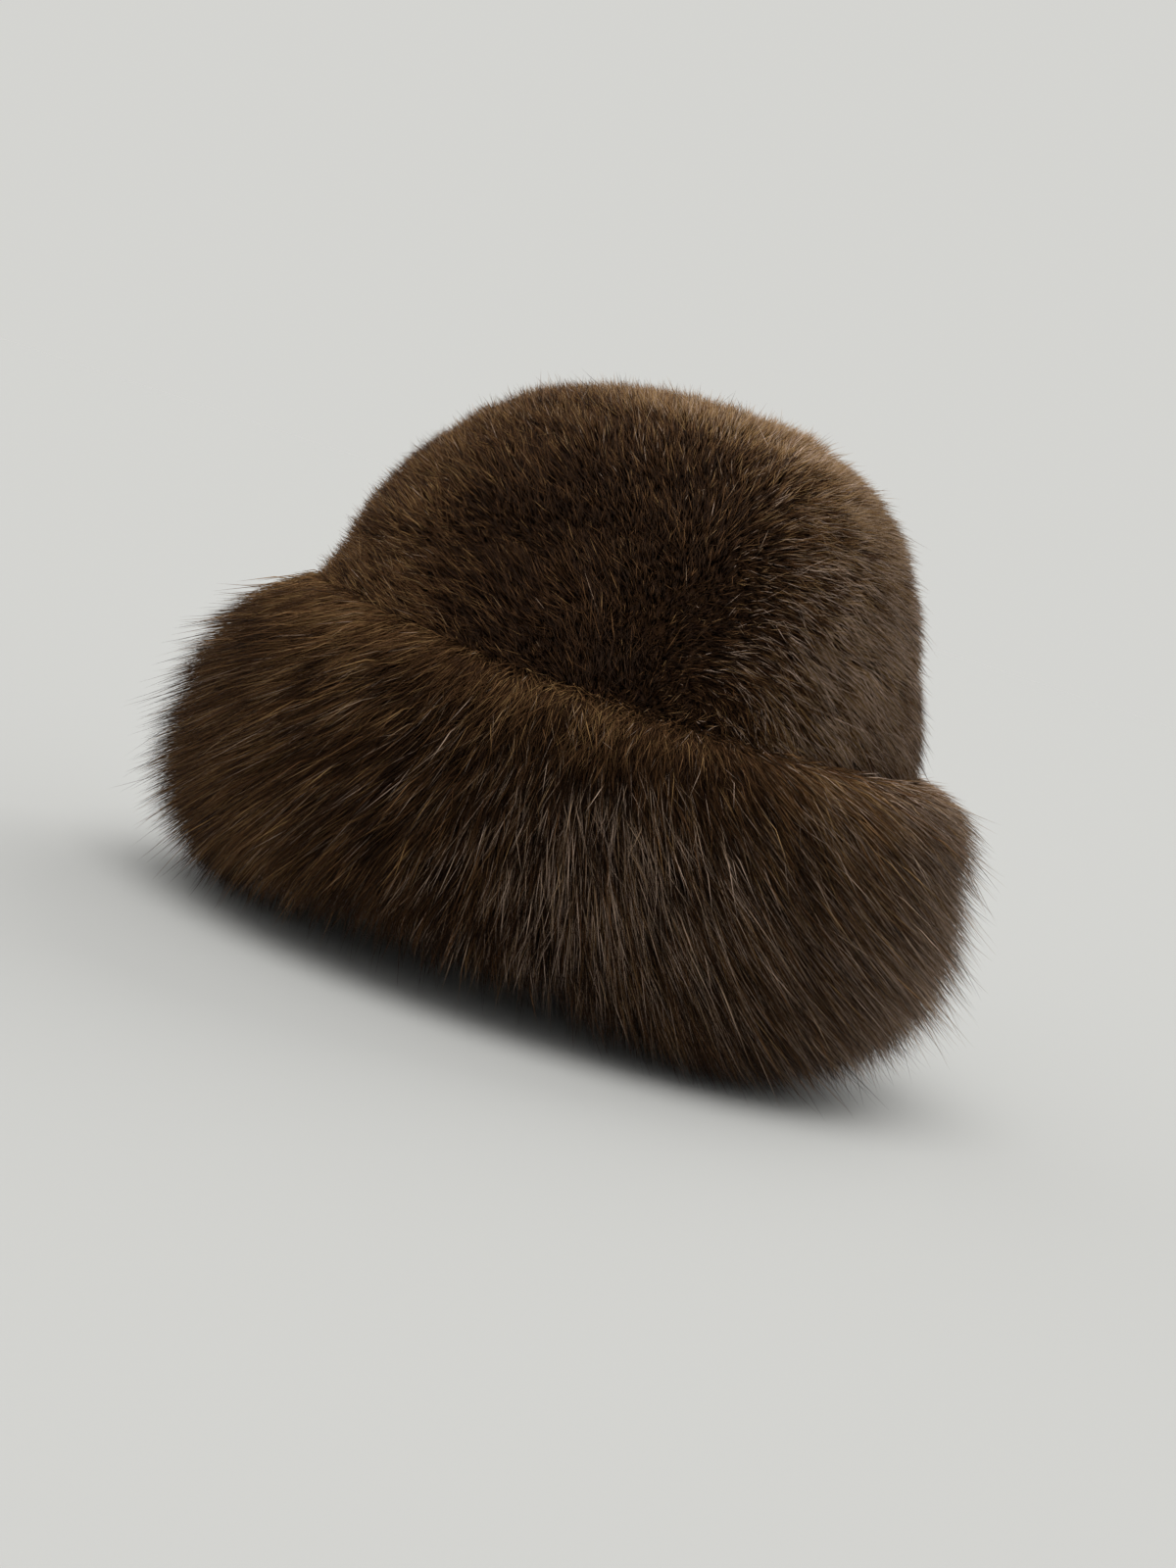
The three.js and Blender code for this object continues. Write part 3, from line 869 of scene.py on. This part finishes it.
def pile_hairs(places, angles, seed):
    """Short pile: each hair stands on the underfur along the outward direction plus the
    comb, an eddy and a tuft's own lie, and its tip lies near the crown's form. Some fuzz
    reaches past it. The tone grows to the back, the front, the top and the crest, which is
    painted sheen on the back's lying pile and painted rim light on the front, top and crest."""
    count = len(places)
    form = crown_form(places, angles)
    normal = crown_normal(places, angles)
    comb = crown_comb(form)
    comb -= normal * np.sum(comb * normal, 1, keepdims=True)
    eddy = noise_vectors("pile_eddy", form, seed)
    tuft = noise_vectors("pile_tuft", form, seed)
    to_back = in_zone("pile_back", form[:, 1])
    stray = RNG.normal(size=(count, 3)) * (STRAY + STRAY_BACK * to_back)[:, None]
    way = unit(normal + comb + eddy + tuft + stray)
    upright = np.sum(way * normal, 1)
    root = crown_surface(places, angles, np.full(count, PILE_ROOT))
    height = PILE_ROOT - 0.4 * top_seam_dip(places)
    height += np.clip(RNG.normal(0.0, 1.0, count), *UNEVEN)
    height += noise_of("pile_height", form, seed)
    height += np.where(RNG.random(count) < FUZZ_SHARE, RNG.uniform(*FUZZ_MORE, count), 0)
    length = np.maximum(height, PILE_LEAST) / np.maximum(upright, 0.4)
    tip = root + way * length[:, None]
    bend = root + (tip - root) * 0.5 + normal * PILE_BULGE

    up = form[:, 2] - SEAM_HEIGHT
    to_front, to_top = in_zone("pile_front", form[:, 1]), in_zone("pile_top", up)
    crest = in_zone("crest", up)
    strand = noise_of("pile_strand", form, seed)
    tone = PILE_TONE_AND_LIGHT["least"] + noise_of("pile_patch", form, seed)
    tone += noise_of("pile_mottle", form, seed)
    # Painted light: painted sheen to the back and painted rim light to the front, top and crest
    tone += PILE_TONE_AND_LIGHT["back"] * to_back + PILE_TONE_AND_LIGHT["front"] * to_front
    tone += PILE_TONE_AND_LIGHT["top"] * to_top
    tone += PILE_TONE_AND_LIGHT["crest"] * crest + (0.1 + 0.12 * to_back) * strand
    tone += RNG.normal(0, PILE_TONE_AND_LIGHT["own"], count)
    # Pale hairs on the crown: painted sheen on the back's lying pile and painted rim light on the
    # top and crest
    share = to_back**2 * (PILE_PALE_AND_SHEEN["back"] + PILE_PALE_AND_SHEEN["strand"] * strand)
    share += PILE_PALE_AND_SHEEN["top"] * to_top + PILE_PALE_AND_SHEEN["crest"] * crest
    is_pale_and_glint = RNG.random(count) < share
    tone = np.where(is_pale_and_glint, RNG.uniform(0.7, 1.0, count) - 0.12 * to_top, tone)
    # Painted sheen: lying hairs start further up the painted root shade, so they show lighter
    lit = 0.14 + 0.42 * smooth_step(0.95, 0.5, upright)
    radius = hat_sizes().pile_width / MM / 2 * RNG.uniform(0.7, 1.2, count)
    return hair_arrays(root, bend, tip, radius, np.clip(tone, 0, 1), lit, (0.0,), 0.0)


class FURHAT_OT_pile(bpy.types.Operator):
    """Makes the short dense pile of the crown's side and top"""

    bl_idname = "furhat.pile"
    bl_label = "Crown's pile"

    def execute(self, context):
        edges = np.linspace(0.0, TOP_ROW - PILE_STOP, PILE_CELLS + 1)
        turns = np.linspace(0, TURN, PILE_CELLS + 1)
        place, turn = np.meshgrid(edges, turns, indexing="ij")
        rows, cols = spread_over(cell_areas(crown_form(place, turn)), hat_sizes().pile_hairs)
        places = rows * (edges[1] - edges[0])
        angles = cols * (turns[1] - turns[0])
        is_top = places > TOP_SEAM
        is_back = np.sin(angles) > 0
        pieces = {
            "crown_top_pile": (is_top, 101),
            "crown_side_pile_front": (~is_top & ~is_back, 121),
            "crown_side_pile_back": (~is_top & is_back, 121),
        }
        material = hair_material("crown_hair", (0.06, 0.26), 0.5, 0.12)
        for name, (chosen, seed) in pieces.items():
            made = hairs_mesh(name, [pile_hairs(places[chosen], angles[chosen], seed)])
            finish_piece(made, [], [material])
        return {"FINISHED"}


def fur_tip(angle, level, reach, lean, sway):
    """Where a hair's tip would be: from the root's level to the tip's as far as it reaches,
    and aside by its lean for each length that it falls and by its sway."""
    root_out, root_down = lay(level, "root")
    tip_out, tip_down = lay(level, "tip")
    out = root_out + (tip_out - root_out) * reach
    fall = root_down + (tip_down - root_down) * reach
    drop = np.maximum(fall - root_down, 0)
    turn = (lean * drop + sway) / (HALF_LENGTH + 25)
    return brim_point(angle + turn, out, fall)


def fur_hairs(angles, levels, is_guard):
    """Long fur: each hair follows the table of the brim's lay, leans to the back as it falls,
    and draws towards the tips of its locks. Guard hairs are long and curved, and some of
    them reach further than the rest. The band along the top edge is smoother and lighter,
    partly in its own colour and partly in painted light from above, and most of the pale
    hairs, which are partly painted glints, are in the middle of each side and at the back."""
    sizes = hat_sizes()
    count = len(angles)
    base = brim_point(angles, *lay(levels, "root"))
    lean = by_sine(LEAN, np.sin(angles)) * np.cos(angles)
    to_front, to_back = in_zone("fur_front", base[:, 1]), in_zone("fur_back", base[:, 1])
    reach = 1 + np.clip(RNG.normal(REACH_MIDDLE, REACH_SPREAD, count), *REACH_LIMITS)
    if is_guard:
        is_long = RNG.random(count) < LONG_SHARE
        more = LONG_MORE + LONG_HEM * in_zone("low_guard", levels)
        reach += np.where(is_long, RNG.uniform(0.04, 1.0, count) * more, 0)
    drift = noise_of("fur_drift", base) + noise_of("fur_eddy", base)
    tone = FUR_TONE_AND_LIGHT["least"] + noise_of("fur_patch", base) + noise_of("fur_mottle", base)
    own = fur_tip(angles, levels, reach, lean, drift + RNG.normal(0, HAIR_SWAY, count))
    tip = own.copy()
    gather = sizes.gathering * in_zone("gather", levels)
    turns = angles / TURN + noise_of("lock_around", base)
    depths = levels + noise_of("lock_down", base)
    top_band = in_zone("edge", levels + noise_of("fur_edge", base))
    for seed, row in enumerate(LOCKS, LOCK_SEED):
        around, down = turns * row["around"], depths * row["down"]
        lock_around, lock_down, mood = locks(around, down, seed)
        shared = fur_tip(
            angles + (lock_around - around) / row["around"] * TURN,
            np.clip(levels + (lock_down - down) / row["down"], 0, 1),
            reach + 0.06 * mood,
            lean,
            drift + row["sway"] * mood,
        )
        draw = np.clip(gather * row["draw"] * RNG.uniform(0.5, 1.5, count), 0, 0.95)
        tip += (shared - own) * draw[:, None]
        tone += row["tone"] * mood * (1 - 0.6 * top_band)
    loose = ((1 - 0.4 * to_front) * (1 - 0.4 * top_band))[:, None]
    tip += RNG.normal(size=(count, 3)) * TIP_STRAY[is_guard] * loose
    bend = brim_point(angles, *lay(levels, "bend"))
    bend += RNG.normal(size=(count, 3)) * BEND_STRAY * loose
    tip = np.clip(tip, SOLIDS_LOW - TIP_ROOM, SOLIDS_HIGH + TIP_ROOM)
    floor = OVER_FLOOR + RNG.random(count) * FLOOR_SPREAD
    tip[:, 2] = np.maximum(tip[:, 2], floor)
    bend[:, 2] = np.maximum(bend[:, 2], floor + BEND_OVER)

    hem = in_zone("hem", levels)
    middle = np.exp(-(((np.sin(angles) - MIDDLE_AT) / MIDDLE_SPAN) ** 2))
    middle *= in_zone("below_edge", levels)
    # The top band's lightening is partly its own colour and partly painted light from above
    tone += (FUR_TONE_AND_LIGHT["edge"] - 0.06 * to_front) * top_band * (1 - 0.35 * to_back)
    tone -= FUR_TONE_AND_LIGHT["middle"] * middle + FUR_TONE_AND_LIGHT["hem"] * hem * (1 - to_front)
    tone += FUR_TONE_AND_LIGHT["front"] * to_front + FUR_TONE_AND_LIGHT["back"] * to_back
    tone += RNG.normal(0, FUR_TONE_AND_LIGHT["own"], count) * (1 - 0.5 * top_band)
    # Pale hairs: partly their own and partly painted glints, with painted rim light on the back's
    # rim
    share = (FUR_PALE_AND_GLINTS["middle"] * middle + FUR_PALE_AND_GLINTS["back"] * to_back**1.5) * (1 - 0.6 * hem)
    share += FUR_PALE_AND_GLINTS["least"] - FUR_PALE_AND_GLINTS["hem"] * hem
    share += FUR_PALE_AND_GLINTS["rim"] * in_zone("rim", base[:, 1]) * (1 - hem)
    share *= (1 - 0.95 * to_front) * (1 - 0.7 * top_band * (1 - 0.9 * to_back))
    is_pale_and_glint = RNG.random(count) < share
    tone = np.where(is_pale_and_glint, RNG.uniform(0.76, 0.94 if is_guard else 1.0, count), tone)
    # Painted light: the top band and hairs that reach further start further up the painted root
    # shade
    lit = 0.35 * top_band + 0.25 * (reach - 0.95) / 0.15
    radius = sizes.fur_width / MM / 2 * RNG.uniform(0.65, 1.25, count) * (1.2 if is_guard else 1)
    stations, first = ((0.0, 0.5), 0.32) if is_guard else ((0.0,), 0.42)
    tone, lit = np.clip(tone, 0, 1), np.clip(lit, 0, 0.8)
    return hair_arrays(base, bend, tip, radius, tone, lit, stations, first)


class FURHAT_OT_fur(bpy.types.Operator):
    """Makes the long fur of the brim, in four pieces round the hat"""

    bl_idname = "furhat.fur"
    bl_label = "Brim's fur"

    def execute(self, context):
        sizes = hat_sizes()
        levels = np.linspace(0, 1, FUR_CELLS + 1)
        turns = np.linspace(0, TURN, FUR_CELLS + 1)
        level, turn = np.meshgrid(levels, turns, indexing="ij")
        areas = cell_areas(brim_point(turn, *lay(level, "tip")))
        sides = ("left", "back", "right", "front")
        groups = {side: [] for side in sides}
        for count, is_guard in ((sizes.fur_hairs, False), (sizes.guard_hairs, True)):
            rows, cols = spread_over(areas, count)
            level, angle = rows / FUR_CELLS, cols / FUR_CELLS * TURN
            quarter = np.floor((angle / TURN + 0.125) * 4).astype(int) % 4
            for index, side in enumerate(sides):
                chosen = quarter == index
                groups[side].append(fur_hairs(angle[chosen], level[chosen], is_guard))
        material = hair_material("brim_hair", (0.07, 0.3), 0.45, 0.14)
        for side in sides:
            made = hairs_mesh(f"brim_fur_{side}", groups[side])
            finish_piece(made, [], [material])
        return {"FINISHED"}


class FURHAT_OT_stage(bpy.types.Operator):
    """Makes the pale floor, the soft lights and the camera"""

    bl_idname = "furhat.stage"
    bl_label = "Studio floor, lights and camera"

    def execute(self, context):
        settings = context.scene.fur_hat_stage
        self.floor(settings)
        self.lights(context, settings)
        self.camera(context, settings)
        return {"FINISHED"}

    def floor(self, settings):
        """A wide round floor: rings of points, joined, and the last closed on the middle."""
        turn = np.arange(FLOOR_AROUND) * TURN / FLOOR_AROUND
        circle = np.stack([np.cos(turn), np.sin(turn), np.zeros(FLOOR_AROUND)], -1)
        rings = np.array(FLOOR_RADII)[:, None, None] * circle
        points = np.concatenate([rings.reshape(-1, 3), [[0, 0, 0]]])
        spans = len(FLOOR_RADII) - 1
        quads = band_quads(spans, len(FLOOR_RADII), FLOOR_AROUND)
        middle = fan(spans * FLOOR_AROUND, FLOOR_AROUND, len(points) - 1, 1)
        corners = np.concatenate([quads, middle])
        sizes = np.repeat([4, 3], [spans * FLOOR_AROUND, FLOOR_AROUND])
        ground = fill_mesh("studio_floor", points, corners, sizes)
        made, _, shader = new_material("studio_paper", 1.0, 0.0, 0.0)
        shader.inputs["Base Color"].default_value = (*settings.floor, 1)
        ground.data.materials.append(made)

    def lights(self, context, settings):
        """Soft lights from the ceiling, low before the hat and high behind it. The floor's
        brightness is its colour times the sky plus the lights' shares, strength x height / pi,
        and the pale sky's own is chosen to equal it, so no line shows at the horizon."""
        share = 0.0
        for name, (way, strength, spread) in LAMPS.items():
            place = Vector(way).normalized()
            share += strength * place.z / math.pi
            light = bpy.data.lights.new(name, "SUN")
            light.energy = strength
            light.angle = math.radians(spread)
            light.color = LAMP_TINT
            holder = bpy.data.objects.new(name, light)
            holder.rotation_euler = place.to_track_quat("Z", "Y").to_euler()
            context.scene.collection.objects.link(holder)
        world = bpy.data.worlds.new("pale_sky")
        world.use_nodes = True
        background = world.node_tree.nodes["Background"]
        background.inputs["Color"].default_value = (*LAMP_TINT, 1)
        floor = settings.floor[0]
        background.inputs["Strength"].default_value = floor * share / (1 - floor)
        context.scene.world = world
        context.scene.view_settings.view_transform = "Standard"

    def camera(self, context, settings):
        """The camera looks at the hat's left side and is turned about its line of view, so
        that the hat leans in the picture as it does in the photograph."""
        roll = settings.roll
        aside = (PICTURE[0] / 2 - SEAM_PIXEL[0]) * PIXEL
        below = (PICTURE[1] / 2 - SEAM_PIXEL[1]) * PIXEL
        along = math.cos(roll) * aside + math.sin(roll) * below
        up = math.sin(roll) * aside - math.cos(roll) * below
        target = Vector((MIDDLE[0], MIDDLE[1] + along, SEAM_HEIGHT + up)) * MM
        tilt = settings.elevation
        back = Vector((math.cos(tilt), 0, math.sin(tilt)))
        level = Vector((0, 1, 0))
        upright = Vector((-math.sin(tilt), 0, math.cos(tilt)))
        right = level * math.cos(roll) + upright * math.sin(roll)
        top = upright * math.cos(roll) - level * math.sin(roll)
        lens = bpy.data.cameras.new("camera")
        lens.sensor_width = SENSOR
        lens.lens = SENSOR * settings.distance / (PICTURE[1] * PIXEL * MM)
        holder = bpy.data.objects.new("camera", lens)
        turn = Matrix((right, top, back)).transposed().to_4x4()
        holder.matrix_world = Matrix.Translation(target + back * settings.distance) @ turn
        context.scene.collection.objects.link(holder)
        context.scene.camera = holder


OPERATORS = (FURHAT_OT_stage, FURHAT_OT_backings, FURHAT_OT_pile, FURHAT_OT_fur)
GROUPS = {
    "fur_hat_sizes": FurHatSizes,
    "fur_hat_colours": FurHatColours,
    "fur_hat_stage": FurHatStage,
}


class FURHAT_PT_panel(bpy.types.Panel):
    """Lists the hat's sizes, colours and steps"""

    bl_label = "Fur Hat"
    bl_idname = "FURHAT_PT_panel"
    bl_space_type = "VIEW_3D"
    bl_region_type = "UI"
    bl_category = "Fur Hat"

    def draw(self, context):
        for name in GROUPS:
            box = self.layout.box()
            group = getattr(context.scene, name)
            for setting in group.__annotations__:
                box.prop(group, setting)
        for operator in OPERATORS:
            self.layout.operator(operator.bl_idname)


def register():
    """Adds the settings, the operators and the panel."""
    for made in (*GROUPS.values(), *OPERATORS, FURHAT_PT_panel):
        bpy.utils.register_class(made)
    for name, group in GROUPS.items():
        setattr(bpy.types.Scene, name, PointerProperty(type=group))


def unregister():
    """Takes them away again, the last first."""
    for name in GROUPS:
        delattr(bpy.types.Scene, name)
    for made in reversed((*GROUPS.values(), *OPERATORS, FURHAT_PT_panel)):
        bpy.utils.unregister_class(made)


def main():
    """Makes the stage and the hat's pieces."""
    register()
    bpy.ops.furhat.stage()
    bpy.ops.furhat.backings()
    bpy.ops.furhat.pile()
    bpy.ops.furhat.fur()


if __name__ == "__main__":
    main()
